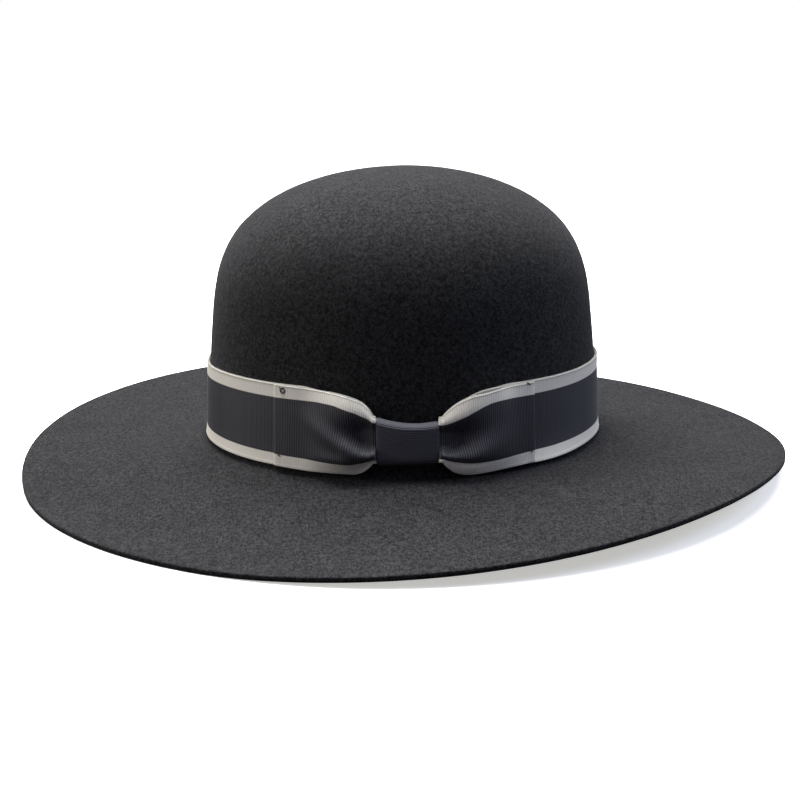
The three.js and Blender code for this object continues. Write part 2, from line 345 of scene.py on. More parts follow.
# Ribbon band
# A 35 mm grosgrain ribbon drawn tight round the foot of the crown: dark in the middle, with a
# cream border along both edges, and fine upright ribs. It narrows where the bow's knot draws it in.
RIBBON = 0.001  # thickness
GAP = 0.0003  # between two layers, and between the band and the felt
RIBBON_WIDTH = 0.0343
FRONT = math.pi * 1.5  # the angle of the hat's front
KNOT_TURN = 0.018  # how far the knot sits from the middle of the front
ARC_RADIUS = 0.092  # turns an angle round the crown into a length along the ribbon
BAND_FACE = GAP + RIBBON
KNOT_HALF = 0.0122  # half the knot's width
PINCH_HALF = 0.0134  # and half the width of the gathered stretch
PINCH_DROP = 0.0118  # of the ribbon's upper edge under the knot
PINCH_RISE = 0.008  # and of its lower edge
BAND_DRAW = 0.001  # how much further than the bow the knot draws the band in
BAND_REACH = 0.034  # of the knot's pull on the band
BAND_SAG = 0.0040  # how much lower its upper edge lies behind the knot
BAND_RIGHT_DROP = 0.0004  # of its upper edge on the right
BAND_RIGHT_SPAN = (0.02, 0.12, 0.03)  # start, end and ramp, along the ribbon from the knot's middle
BAND_LEFT_DROP = 0.0010  # of its upper edge at the left
BAND_LEFT_SPOT = (-0.130, 0.026)  # place and reach, along the ribbon
BAND_LOW_DROP = 0.0005  # of its lower edge on the right
BAND_LOW_SPOT = (0.062, 0.024)
BAND_FLARE = 0.0006  # how far its lower edge stands off over the crown's foot
BAND_RIGHT_FLARE = 0.0016  # and how much more beside the bow's right end
BAND_FLARE_SPOT = (0.066, 0.026)
BAND_FLARE_SHARE = 0.3  # of its width
BAND_LIFT = 0.0003  # how far its upper edge stands off on the right
BAND_LIFT_SPAN = (0.0, 0.20, 0.05)
BAND_LIFT_SHARE = 0.2
RIB_PITCH = 0.00085
RIB_HEIGHT = 0.00015
RIB_COLUMNS = 4  # columns of the mesh in each rib
SELVAGE_ROWS = [0.0, 0.005, 0.014, 0.022]  # rows of the mesh at one edge, as shares of the width
BAND_ROWS = [0.06, 0.145, 0.152, 0.3, 0.5, 0.7, 0.826, 0.833, 0.94]
SELVAGE_ROUND = 0.00045  # width of the edge's rounding
SELVAGE_FLAT = 0.4  # share of the half thickness that the very edge keeps
BEAD = 0.2  # rise of the thick thread along the edge, as such a share
BEAD_REACH = 0.00022
UPPER_BORDER = 0.0058  # widths of the cream borders
LOWER_BORDER = 0.0051
CREAM = (0.86, 0.82, 0.73)
# painted shade: the cream and the charcoal are darker in the grooves between the ribs, where shade falls
CREAM_GROOVE_SHADE = (0.74, 0.70, 0.62)
CHARCOAL = (0.058, 0.058, 0.070)
CHARCOAL_GROOVE_SHADE = (0.003, 0.003, 0.005)
SPECKLE = (0.82, 0.82, 0.82)
THREAD_PITCH = 0.00022
STRIPE_BLUR = 0.00012  # how softly cream meets charcoal
SELVAGE_LINE = 0.0007  # distance of the fine line from the edge
RIM_SHADE = 0.35  # how dark the rim, this line and the charcoal beside the cream are; the darker charcoal beside the cream is a painted shadow line
LINE_SHADE = 0.5
SIDE_SHADOW_LINE = 0.4


def on_ribbon(along, height, out):
    """Along from the knot's middle, up from the ribbon's lower edge and out from the felt."""
    return off_wall(FRONT + KNOT_TURN + along / ARC_RADIUS, height, taper(height), out)


def pull(along, reach):
    """How much of the knot's pull is left: 1 in the pinch, and 0 past its reach from there."""
    return (1 - np.clip((np.abs(along) - PINCH_HALF) / reach, 0, 1)) ** 2


def hump(value, place, reach):
    """A smooth rise to 1 at a place, almost 0 at twice its reach from there."""
    return np.exp(-(((value - place) / reach) ** 2))


def span(value, start, end, ramp):
    """1 between start and end, 0 outside them, with a ramp inside at both."""
    return np.clip((value - start) / ramp, 0, 1) * np.clip((end - value) / ramp, 0, 1)


def rib_at(length):
    """Height of the ribs at a length along the ribbon."""
    return RIB_HEIGHT * np.sin(math.pi * length / RIB_PITCH) ** 2


def edge_round(share):
    """Share of the ribbon's half thickness at a place across it: its selvages are rounded."""
    edge = min(share, 1 - share) * RIBBON_WIDTH
    rounding = (1 - SELVAGE_FLAT) * min(edge / SELVAGE_ROUND, 1) ** 0.5
    return SELVAGE_FLAT + rounding + BEAD * math.exp(-(((edge - SELVAGE_ROUND) / BEAD_REACH) ** 2))


def rows_across(edge, middle):
    """Rows of the mesh across a ribbon: those of one edge, the middle and the other edge."""
    return edge + list(middle) + [1 - row for row in reversed(edge)]


def section_of(rows):
    """The ribbon's section: place across its width and side, 1 on the face and -1 on the back."""
    return [(share, 1) for share in rows] + [(share, -1) for share in reversed(rows)]


def strip_of(name, grid, lengths, widths):
    """A closed strip of ribbon. The grid is columns along it by rows round its section, lengths
    holds each column's place along the ribbon and widths each row's place across it."""
    columns, rows = grid.shape[:2]
    faces = []
    for i in range(columns):
        after = (i + 1) % columns
        for j in range(rows):
            above = (j + 1) % rows
            faces.append((i * rows + j, after * rows + j, after * rows + above, i * rows + above))
    made = piece_of(name, grid.reshape(-1, 3), faces)
    layer = made.data.uv_layers.new(name="ribbon")
    step = abs(lengths[1] - lengths[0])
    coordinates = []
    for i in range(columns):
        ends = (lengths[i], lengths[i + 1] if i + 1 < columns else lengths[i] + step)
        for j in range(rows):
            sides = (widths[j], widths[(j + 1) % rows])
            for u, v in ((ends[0], sides[0]), (ends[1], sides[0]), (ends[1], sides[1]), (ends[0], sides[1])):
                coordinates += [u, v]
    layer.data.foreach_set("uv", coordinates)
    return made


turns = np.linspace(-math.pi, math.pi, 4001)
path = on_ribbon(turns * ARC_RADIUS, 0.5 * RIBBON_WIDTH, BAND_FACE)
path_length = np.concatenate([[0], np.cumsum(np.linalg.norm(np.diff(path, axis=0), axis=1))])
rib_count = round(path_length[-1] / RIB_PITCH)
band_columns = rib_count * RIB_COLUMNS
band_lengths = np.arange(band_columns) / band_columns * path_length[-1]
band_along = np.interp(band_lengths, path_length, turns) * ARC_RADIUS
band_ribs = rib_at(band_lengths * RIB_PITCH * rib_count / path_length[-1]) - RIB_HEIGHT
drawn = pull(band_along, BAND_REACH)
low = (PINCH_RISE + BAND_DRAW) * drawn - BAND_LOW_DROP * hump(band_along, *BAND_LOW_SPOT)
high = RIBBON_WIDTH - (PINCH_DROP + BAND_DRAW + BAND_SAG) * drawn
high = high - BAND_RIGHT_DROP * span(band_along, *BAND_RIGHT_SPAN)
high = high - BAND_LEFT_DROP * hump(band_along, *BAND_LEFT_SPOT)
flaring = BAND_FLARE + BAND_RIGHT_FLARE * hump(band_along, *BAND_FLARE_SPOT)
lifting = BAND_LIFT * span(band_along, *BAND_LIFT_SPAN)
band_section = section_of(rows_across(SELVAGE_ROWS, BAND_ROWS))
band_grid = []
for share, side in band_section:
    flare = flaring * np.clip(1 - share / BAND_FLARE_SHARE, 0, 1) ** 2
    lift = lifting * np.clip(1 - (1 - share) / BAND_LIFT_SHARE, 0, 1)
    out = GAP + RIBBON / 2 + side * RIBBON / 2 * edge_round(share) + flare + lift
    if side > 0:
        out = out + band_ribs
    band_grid.append(on_ribbon(band_along, low + (high - low) * share, out))
band_grid = np.stack(band_grid, axis=1)
band_widths = [share * RIBBON_WIDTH for share, _ in band_section]
band = strip_of("striped_ribbon_band", band_grid, band_lengths, band_widths)

# The weave of grosgrain, for all the ribbon: round ribs across it, fine warp threads along it
# over the ribs, a speckle of lighter and darker thread, and the mask for the painted shade in the grooves.
weave = bpy.data.node_groups.new("grosgrain_weave", "ShaderNodeTree")
weave.interface.new_socket("Ribbon Place", in_out="INPUT", socket_type="NodeSocketVector")
weave.interface.new_socket("Rib Pitch", in_out="INPUT", socket_type="NodeSocketFloat")
weave.interface.new_socket("Thread Pitch", in_out="INPUT", socket_type="NodeSocketFloat")
weave.interface.new_socket("Height", in_out="OUTPUT", socket_type="NodeSocketFloat")
# painted shade mask: 1 on the ribs' tops, 0 in the grooves, where a darker colour is painted
weave.interface.new_socket("Groove Shade", in_out="OUTPUT", socket_type="NodeSocketFloat")
weave.interface.new_socket("Across", in_out="OUTPUT", socket_type="NodeSocketFloat")
weave.interface.new_socket("Speckle", in_out="OUTPUT", socket_type="NodeSocketColor")


def half_turns(tree, length, pitch):
    """The angle of a wave that rises and falls once in each pitch of a length."""
    return math_node(tree, "MULTIPLY", math_node(tree, "DIVIDE", length, pitch), math.pi)


given = weave.nodes.new("NodeGroupInput").outputs
result = weave.nodes.new("NodeGroupOutput").inputs
parts = weave.nodes.new("ShaderNodeSeparateXYZ")
weave.links.new(given["Ribbon Place"], parts.inputs[0])
rib = math_node(weave, "SINE", half_turns(weave, parts.outputs[0], given["Rib Pitch"]))
rib = math_node(weave, "MULTIPLY", rib, rib)
thread = math_node(weave, "SINE", half_turns(weave, parts.outputs[1], given["Thread Pitch"]))
thread = math_node(weave, "ABSOLUTE", thread)
irregular = noise_node(weave, given["Ribbon Place"], 900, 2, 0.5)
thread = math_node(weave, "MULTIPLY", thread, math_node(weave, "ADD", irregular, 0.5))
spots = noise_node(weave, given["Ribbon Place"], 2500, 2, 0.5)
weave.links.new(weighed(weave, rib, thread, 0.75), result["Height"])
weave.links.new(rib, result["Groove Shade"])
weave.links.new(parts.outputs[1], result["Across"])
weave.links.new(ramp_node(weave, spots, [(0.3, SPECKLE), (0.7, NO_TINT)]), result["Speckle"])


def shaded(colour, shade):
    """A colour made darker or lighter."""
    return tuple(part * shade for part in colour)


def stripes_of(tree, share, cream, charcoal):
    """The colours across the striped ribbon, from its lower to its upper edge, with a painted shadow line in
    the charcoal beside each cream border.
    """
    blur, line = STRIPE_BLUR / RIBBON_WIDTH, SELVAGE_LINE / RIBBON_WIDTH
    lower, upper = LOWER_BORDER / RIBBON_WIDTH, 1 - UPPER_BORDER / RIBBON_WIDTH
    # the charcoal beside the cream is painted darker as a shadow line
    rim, line_colour, side = shaded(cream, RIM_SHADE), shaded(cream, LINE_SHADE), shaded(charcoal, SIDE_SHADOW_LINE)
    return ramp_node(tree, share, [
        (0.004, rim), (0.010, cream), (line, cream), (line + blur, line_colour),
        (line + 3 * blur, cream), (lower - blur, cream), (lower + blur, side),
        (lower + 5 * blur, charcoal), (upper - 5 * blur, charcoal), (upper - blur, side),
        (upper + blur, cream), (1 - line - 3 * blur, cream), (1 - line - blur, line_colour),
        (1 - line, cream), (0.990, cream), (0.996, rim),
    ])


def ribbon_material(name, striped, painted_lightness):
    """Grosgrain, with cream borders or plain. Its charcoal is multiplied by a factor that paints light into
    it, making a lit copy lighter than the band's; its grooves carry painted shade.
    """
    material = bpy.data.materials.new(name)
    material.use_nodes = True
    tree = material.node_tree
    shader = tree.nodes["Principled BSDF"]
    place = tree.nodes.new("ShaderNodeUVMap")
    place.uv_map = "ribbon"
    group = tree.nodes.new("ShaderNodeGroup")
    group.node_tree = weave
    group.inputs["Rib Pitch"].default_value = RIB_PITCH
    group.inputs["Thread Pitch"].default_value = THREAD_PITCH
    tree.links.new(place.outputs[0], group.inputs["Ribbon Place"])
    # painted light: the charcoal and its groove colour are made lighter by the factor
    on_rib, groove_shade = shaded(CHARCOAL, painted_lightness), shaded(CHARCOAL_GROOVE_SHADE, painted_lightness)
    if striped:
        share = math_node(tree, "DIVIDE", group.outputs["Across"], RIBBON_WIDTH)
        on_rib = stripes_of(tree, share, CREAM, on_rib)
        groove_shade = stripes_of(tree, share, CREAM_GROOVE_SHADE, groove_shade)
    # painted shade: the groove colour is mixed in between the ribs
    colour = mix_colour(tree, group.outputs["Groove Shade"], groove_shade, on_rib)
    colour = mix_colour(tree, 1.0, colour, group.outputs["Speckle"], "MULTIPLY")
    tree.links.new(colour, shader.inputs["Base Color"])
    shader.inputs["Roughness"].default_value = 0.55
    shader.inputs["Specular IOR Level"].default_value = 0.35
    shader.inputs["Sheen Weight"].default_value = 0.1
    shader.inputs["Sheen Roughness"].default_value = 0.4
    set_bump(tree, group.outputs["Height"], 0.5, 0.00008)
    return material


striped_material = ribbon_material("striped_grosgrain", True, 1.0)
band.data.materials.append(striped_material)
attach(band, "root")
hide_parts("ribbon_band")

# Bow
# A flattened loop of the same ribbon laid across the front of the band and tacked at both folded
# ends. The knot gathers its middle, so its front layer bulges on both sides and pleats beside it.
# Pairs hold the left and the right loop's value, and shares run from the lower to the upper edge.
FLAT_BACK = BAND_FACE + GAP + RIBBON / 2  # middle of the back layer where it lies on the band
PINCH_BACK = FLAT_BACK + RIBBON + GAP  # and over the knot's strip
LAYER_STEP = RIBBON + GAP
BACK_REACH = 0.008
LOOP_END = (0.0575, 0.0555)  # distance from the knot's middle
BOW_EDGES = (  # distance from the knot's middle, lower edge, upper edge, upper border's width
    (
        (0.0134, 0.0052, 0.0246, 0.0026),
        (0.0154, 0.0030, 0.0277, 0.0043),
        (0.0186, 0.0008, 0.0302, 0.0053),
        (0.0219, 0.0000, 0.0316, 0.0053),
        (0.0255, 0.0000, 0.0326, 0.0050),
        (0.0296, 0.0000, 0.0334, 0.0046),
        (0.0356, 0.0000, 0.0340, 0.0047),
        (0.0420, 0.0001, 0.0343, 0.0051),
        (0.0575, 0.0004, 0.0346, 0.0055),
    ),
    (
        (0.0134, 0.0052, 0.0227, 0.0027),
        (0.0154, 0.0029, 0.0247, 0.0045),
        (0.0186, 0.0006, 0.0274, 0.0061),
        (0.0219, -0.0003, 0.0294, 0.0066),
        (0.0251, -0.0005, 0.0307, 0.0061),
        (0.0291, -0.0005, 0.0319, 0.0050),
        (0.0332, -0.0005, 0.0327, 0.0044),
        (0.0400, -0.0004, 0.0334, 0.0048),
        (0.0555, 0.0000, 0.0338, 0.0054),
    ),
)
CURLS = (  # distance, share of the bulge by which the lower and the upper edge turn back
    ((0.0134, 1.0, 0.5), (0.0340, 1.0, 0.5), (0.0460, 0.4, 0.8)),
    ((0.0134, 0.30, 0.1), (0.0240, 0.34, 0.1), (0.0350, 0.60, 0.1), (0.0460, 0.85, 0.9)),
)
LOW_CURL_END = 0.19  # share where the lower turn ends
LOW_CURL_POWER = 1.2
TOP_CURL_START = 0.6
BULGE = 0.0048
BULGE_PLACE = (0.025, 0.028)
BULGE_END = (0.047, 0.053)
RIDGE = 0.0042  # of the gathered front layer beside the knot
RIDGE_PLACE = 0.015
RIDGE_LENGTH = 0.018
RIDGE_LEVEL = (0.26, 0.20)  # share where it starts
RIDGE_RISE = (13.0, 6.0)  # share by which it climbs in a metre
RIDGE_SPREAD = (0.12, 0.17)
FOLDS = (  # height, distance and length in pairs, then the share where it lies and its spread
    ((-0.0030, -0.0034), (0.019, 0.019), (0.009, 0.009), 0.52, 0.16),  # hollow above the ridge
    ((0.0020, 0.0026), (0.0155, 0.0175), (0.0060, 0.0085), 0.85, 0.15),  # flare of the upper border
    ((0.0, 0.0014), (0.016, 0.016), (0.008, 0.008), 0.05, 0.08),  # flare of the right lower border
    ((0.0018, 0.0), (0.021, 0.021), (0.010, 0.010), 0.20, 0.09),  # belly over the left lower border
    ((0.0, -0.0020), (0.021, 0.021), (0.010, 0.010), 0.155, 0.035),  # crease over the right one
)
FREE_FROM = 0.0118  # distance where the front layer starts to lift, just inside the knot's side
FREE_RAMP = 0.0014
END_RAMP = 0.006  # over which it comes down to the fold at the loop's end
SOFT_HOLLOW = 0.0004  # how softly a hollow meets the back layer
BACK_DROP = 0.0007  # how far the back layer's upper edge lies lower than the front layer's
BACK_DROP_END = (0.050, 0.031)
BACK_DROP_RAMP = 0.008
FRONT_RAISE = 0.0011  # how far the right loop's front layer hides its back layer near the knot
FRONT_RAISE_END = 0.031
FRONT_RAISE_RAMP = 0.006
LOW_BORDER_LOSS = 0.65  # share that the lower border loses at the knot
LOW_BORDER_REACH = 0.008
BOW_RISE = 0.0052  # of the bow's lower edge at the knot's sides
HIDDEN_RISE = 0.0012  # and how much more inside the knot
HIDDEN_RAMP = 0.001
TOP_RAMP = 0.0008  # over which its upper edge falls to the knot's top
KNOT_SLOPE = 0.0010  # fall of the knot's top from back to front
KNOT_SAG = (0.0029, 0.0010, 0.0015)  # drop of its top in the middle, more to the right, less at the ends
BOW_ROWS = np.linspace(0.05, 0.95, 27)
BACK_COLUMNS = 120
FOLD_COLUMNS = 8
MEASURED_ROW = 12  # of the bow's section, along which its length is taken


def by_side(along, pair):
    """The left or the right value of a pair."""
    return np.where(along < 0, pair[0], pair[1])


def curve(table, column, place):
    """A smooth curve through a column of a table, with no overshoot between its rows."""
    rows = np.array(table)
    xs, ys = rows[:, 0], rows[:, column]
    steps = np.diff(ys) / np.diff(xs)
    slopes = np.concatenate([steps[:1], np.zeros(len(xs) - 2), steps[-1:]])
    same = steps[:-1] * steps[1:] > 0
    pairs = np.where(same, steps[:-1] + steps[1:], 1)
    slopes[1:-1] = np.where(same, 2 * steps[:-1] * steps[1:] / pairs, 0)
    i = np.clip(np.searchsorted(xs, place) - 1, 0, len(xs) - 2)
    width = xs[i + 1] - xs[i]
    t = np.clip((place - xs[i]) / width, 0, 1)
    start = ys[i] * (1 + 2 * t) * (1 - t) ** 2 + slopes[i] * width * t * (1 - t) ** 2
    return start + ys[i + 1] * t * t * (3 - 2 * t) - slopes[i + 1] * width * t * t * (1 - t)


def loop_curve(along, tables, column):
    """A column of the left or the right loop's table, at a place along the bow."""
    return by_side(along, [curve(table, column, np.abs(along)) for table in tables])


def back_layer(along):
    """Middle of the bow's back layer, which lies on the band and lifts over the knot's strip."""
    return FLAT_BACK + (PINCH_BACK - FLAT_BACK) * pull(along, BACK_REACH)


def front_layer(along, share):
    """Middle of its front layer: a bulge with its edges turned back, and the gathers' folds."""
    distance = np.abs(along)
    bulge_at, bulge_end = by_side(along, BULGE_PLACE), by_side(along, BULGE_END)
    rising = (distance - PINCH_HALF) / (bulge_at - PINCH_HALF)
    falling = (bulge_end - distance) / (bulge_end - bulge_at)
    swell = np.sin(math.pi / 2 * np.clip(np.minimum(rising, falling), 0, 1)) ** 2
    top_share = np.clip((share - TOP_CURL_START) / (1 - TOP_CURL_START), 0, 1) ** 2
    out = BULGE * swell * (1 - loop_curve(along, CURLS, 2) * top_share)
    level = by_side(along, RIDGE_LEVEL) + by_side(along, RIDGE_RISE) * np.clip(distance - RIDGE_PLACE, 0, 1)
    ridge = hump(distance, RIDGE_PLACE, RIDGE_LENGTH) * hump(share, level, by_side(along, RIDGE_SPREAD))
    out = out + RIDGE * ridge
    for height, place, length, fold_share, spread in FOLDS:
        fold = hump(distance, by_side(along, place), by_side(along, length)) * hump(share, fold_share, spread)
        out = out + by_side(along, height) * fold
    low_share = np.clip(1 - share / LOW_CURL_END, 0, 1) ** LOW_CURL_POWER
    out = out * (1 - loop_curve(along, CURLS, 1) * low_share)
    freed = np.sin(math.pi / 2 * np.clip((distance - FREE_FROM) / FREE_RAMP, 0, 1)) ** 2
    ending = np.clip((by_side(along, LOOP_END) - distance) / END_RAMP, 0, 1)
    out = 0.5 * (out + np.sqrt(out**2 + SOFT_HOLLOW**2)) * freed * ending
    return back_layer(along) + LAYER_STEP + out


def knot_sag(along):
    """The knot's upper edge sags between its ends."""
    middle, right, ends = KNOT_SAG
    across = np.clip(along / KNOT_HALF, -1, 1)
    return -middle - right * across + ends * across**2


def bow_height(along, share):
    """Height on the band of a place across the bow, whose borders keep their width up to the knot."""
    distance = np.abs(along)
    low = loop_curve(along, BOW_EDGES, 1)
    low = low + HIDDEN_RISE * np.clip((KNOT_HALF - distance) / HIDDEN_RAMP, 0, 1)
    high = loop_curve(along, BOW_EDGES, 2)
    knot_top = RIBBON_WIDTH - PINCH_DROP + knot_sag(along) - KNOT_SLOPE
    high = high + (knot_top - high) * np.clip((KNOT_HALF - distance) / TOP_RAMP + 0.5, 0, 1)
    lower = LOWER_BORDER * (1 - LOW_BORDER_LOSS * pull(along, LOW_BORDER_REACH))
    upper = loop_curve(along, BOW_EDGES, 3)
    lower_share, upper_share = LOWER_BORDER / RIBBON_WIDTH, 1 - UPPER_BORDER / RIBBON_WIDTH
    if share <= lower_share:
        return low + lower * share / lower_share
    if share >= upper_share:
        return high - upper * (1 - share) / (1 - upper_share)
    inner = (share - lower_share) / (upper_share - lower_share)
    return low + lower + (high - upper - low - lower) * inner


def front_of(path, share, half):
    """Points of the front layer, half the thickness off its middle and square with it."""
    step = 1e-5
    slope = (front_layer(path + step, share) - front_layer(path - step, share)) / (2 * step)
    if half > 0:
        half = half + rib_at(path - path[0]) - RIB_HEIGHT
    shift = half / np.hypot(slope, 1)
    near_knot = np.clip((FRONT_RAISE_END - path) / FRONT_RAISE_RAMP, 0, 1) * (path > KNOT_HALF)
    height = bow_height(path, share) + FRONT_RAISE * near_knot * share**3
    return on_ribbon(path - slope * shift, height, front_layer(path, share) + shift)


def back_of(path, share, half):
    """Points of the back layer."""
    dropped = np.clip((by_side(path, BACK_DROP_END) - np.abs(path)) / BACK_DROP_RAMP, 0, 1)
    height = bow_height(path, share) - BACK_DROP * share * dropped
    return on_ribbon(path, height, back_layer(path) - half)


def fold_of(end, turn, share, half):
    """Points of the half round fold at one end, where turn 0 is on the front layer."""
    reach = LAYER_STEP / 2 + half
    out = back_layer(end) + LAYER_STEP / 2 + reach * np.cos(turn)
    return on_ribbon(end + reach * np.sin(turn), bow_height(end + 0 * turn, share), out)


left_end, right_end = -LOOP_END[0], LOOP_END[1]
bow_steps = round((right_end - left_end) / RIB_PITCH) * RIB_COLUMNS
front_path = np.linspace(left_end, right_end, bow_steps + 1)
back_path = np.linspace(right_end, left_end, BACK_COLUMNS + 1)[:-1]
fold_turns = np.linspace(0, math.pi, FOLD_COLUMNS + 1)[:-1]
bow_section = section_of(rows_across(SELVAGE_ROWS, BOW_ROWS))
bow_grid = []
for share, side in bow_section:
    half = side * RIBBON / 2 * edge_round(share)
    bow_grid.append(np.concatenate([
        front_of(front_path, share, half),
        fold_of(right_end, fold_turns[1:], share, half),
        back_of(back_path, share, half),
        fold_of(left_end, fold_turns + math.pi, share, half),
    ]))
bow_grid = np.stack(bow_grid, axis=1)
step_lengths = np.linalg.norm(np.diff(bow_grid[:, MEASURED_ROW], axis=0), axis=1)
front_length = right_end - left_end
bow_lengths = np.concatenate([front_path - left_end, front_length + np.cumsum(step_lengths[bow_steps:])])
bow_widths = [share * RIBBON_WIDTH for share, _ in bow_section]
bow = strip_of("flat_ribbon_bow", bow_grid, bow_lengths, bow_widths)
bow.data.materials.append(striped_material)
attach(bow, "root")
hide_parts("bow")

# Knot
# A narrow strip of plain dark grosgrain, wrapped upright round the gathered middle of the bow and
# sewn behind it. Its ribs lie level, and its upper fold catches the light.
KNOT_ROOM = 0.0004  # more above the bow than the gap
KNOT_LOW = BOW_RISE - GAP  # the strip's inside, below and above the bow
KNOT_HIGH = RIBBON_WIDTH - PINCH_DROP + GAP + KNOT_ROOM
KNOT_INNER = PINCH_BACK - RIBBON / 2 - GAP  # behind it and in front of it
KNOT_OUTER = PINCH_BACK + LAYER_STEP + RIBBON / 2 + GAP
KNOT_CORNERS = (0.0017, 0.0014, 0.0014, 0.0044)  # upper front, upper back, lower back, lower front
KNOT_RIB_COLUMNS = 6
KNOT_EDGE_ROWS = [0.0, 0.01, 0.04]
KNOT_ROWS = np.linspace(0.08, 0.92, 13)
KNOT_EDGE = 0.0012  # width of the rounding at its edges


def knot_loop(thickness):
    """The closed path round the bow, in height and outward distance, a thickness off the strip's
    inside. Its top slopes down to the front."""
    low, high = KNOT_LOW - thickness, KNOT_HIGH + thickness
    inner, outer = KNOT_INNER - thickness, KNOT_OUTER + thickness
    corners = np.array([(high - KNOT_SLOPE, outer), (high, inner), (low, inner), (low, outer)])
    points = []
    for i, corner in enumerate(corners):
        radius = KNOT_CORNERS[i] - RIBBON + thickness
        before, after = corners[i - 1] - corner, corners[(i + 1) % 4] - corner
        before, after = before / np.linalg.norm(before), after / np.linalg.norm(after)
        for step in np.linspace(0, 1, 9):
            points.append(corner + radius * (before * (1 - step) ** 2 + after * step**2))
    return np.array(points + points[:1])


outer_loop, inner_loop = knot_loop(RIBBON), knot_loop(0.0)
knot_path = np.concatenate([[0], np.cumsum(np.linalg.norm(np.diff(outer_loop, axis=0), axis=1))])
knot_ribs = round(knot_path[-1] / RIB_PITCH)
knot_columns = knot_ribs * KNOT_RIB_COLUMNS
knot_lengths = np.arange(knot_columns) / knot_columns * knot_path[-1]
outside = np.stack([np.interp(knot_lengths, knot_path, outer_loop[:, k]) for k in (0, 1)], axis=1)
inside = np.stack([np.interp(knot_lengths, knot_path, inner_loop[:, k]) for k in (0, 1)], axis=1)
outwards = (outside - inside) / np.linalg.norm(outside - inside, axis=1, keepdims=True)
rib_relief = rib_at(knot_lengths * RIB_PITCH * knot_ribs / knot_path[-1]) - RIB_HEIGHT
knot_section = section_of(rows_across(KNOT_EDGE_ROWS, KNOT_ROWS)[::-1])
knot_grid = []
for share, side in knot_section:
    along = (share * 2 - 1) * KNOT_HALF
    rounding = 1 - min(min(share, 1 - share) * 2 * KNOT_HALF / KNOT_EDGE, 1) ** 0.5
    face = outside if side > 0 else inside
    ring = face + ((outside + inside) / 2 - face) * 0.5 * rounding
    if side > 0:
        ring = ring + outwards * rib_relief[:, None]
    lifted = np.clip((ring[:, 0] - KNOT_LOW) / (KNOT_HIGH - KNOT_LOW), 0, 1)
    height = ring[:, 0] + knot_sag(along) * lifted
    knot_grid.append(on_ribbon(np.full(knot_columns, along), height, ring[:, 1]))
knot_grid = np.stack(knot_grid, axis=1)
knot_widths = [share * 2 * KNOT_HALF for share, _ in knot_section]
knot = strip_of("ribbon_knot", knot_grid, knot_lengths, knot_widths)
# painted light: the knot's charcoal is 2.2 times lighter than the band's, a lit copy of the same grosgrain
knot.data.materials.append(ribbon_material("plain_grosgrain_painted_lighter", False, 2.2))
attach(knot, "root")
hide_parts("bow_knot")

# Tack stitches
# Dark sewing thread that holds the bow's two folded ends to the band: a loose curl at the upper
# left, and short stitches at the other corners.
THREAD = 0.00026  # its radius
THREAD_SIDES = 8
CURL = 0.0009  # radius of the loose curl
CURL_PLACE = (-0.0532, 0.0323)  # along the ribbon, height
CURL_POINTS = 30
TAIL_START = (-0.0527, 0.0329)
TAIL = (-0.0024, 0.0004)  # from its start to its tip
TACKS = (  # along the ribbon, height, half length
    (0.0530, 0.0332, 0.0009),
    (-0.0552, 0.0052, 0.0006),
    (0.0540, 0.0051, 0.0006),
)
TACK_SLANT = 0.5
THREAD_DARK = (0.006, 0.006, 0.008)
THREAD_LIGHT = (0.035, 0.035, 0.04)


def thread_of(name, line, radius):
    """A closed round thread through points of the scene."""
    line = np.array(line)
    tangent = np.gradient(line, axis=0)
    tangent /= np.linalg.norm(tangent, axis=1, keepdims=True)
    side = np.cross(tangent, (0.31, 0.17, 0.93))
    side /= np.linalg.norm(side, axis=1, keepdims=True)
    upward = np.cross(tangent, side)
    points = []
    for i, middle in enumerate(line):
        for turn in np.arange(THREAD_SIDES) / THREAD_SIDES * 2 * math.pi:
            points.append(middle + radius * (side[i] * math.cos(turn) + upward[i] * math.sin(turn)))
    faces = [tuple(reversed(range(THREAD_SIDES))), tuple(range(len(points) - THREAD_SIDES, len(points)))]
    for ring in range(0, len(points) - THREAD_SIDES, THREAD_SIDES):
        for j in range(THREAD_SIDES):
            near, far = ring + j, ring + (j + 1) % THREAD_SIDES
            faces.append((near, far, far + THREAD_SIDES, near + THREAD_SIDES))
    return piece_of(name, points, faces)


def on_bow(along, height, lift):
    """A place on the bow's face, lifted off it."""
    out = front_layer(np.array([along]), height / RIBBON_WIDTH)[0] + RIBBON / 2 + lift
    return on_ribbon(np.array([along]), np.array([height]), np.array([out]))[0]


curl_line = []
for turn in np.linspace(0.3 * math.pi, 2.35 * math.pi, CURL_POINTS):
    reach = CURL * (1.25 - 0.1 * turn / math.pi)
    along, height = CURL_PLACE[0] + reach * math.cos(turn), CURL_PLACE[1] + reach * math.sin(turn)
    curl_line.append(on_bow(along, height, THREAD))
for step in np.linspace(0.1, 1, 8):
    along, height = TAIL_START[0] + TAIL[0] * step, TAIL_START[1] + TAIL[1] * step
    curl_line.append(on_bow(along, height, THREAD * (1 - step)))
tacks = [thread_of("thread_curl", curl_line, THREAD)]
for i, (along, height, half) in enumerate(TACKS):
    line = []
    for step in np.linspace(-1, 1, 9):
        lift = THREAD * (1.2 - 1.6 * step**2)
        line.append(on_bow(along + half * step, height - TACK_SLANT * half * step, lift))
    tacks.append(thread_of("thread_tack_" + str(i + 1), line, THREAD))
thread_material = bpy.data.materials.new("dark_thread")
thread_material.use_nodes = True
tree = thread_material.node_tree
shader = tree.nodes["Principled BSDF"]
place = tree.nodes.new("ShaderNodeTexCoord").outputs["Object"]
ply = noise_node(tree, stretched(tree, place, (0, 0, 0.7), (1, 1, 0.4)), 5000, 2, 0.5)
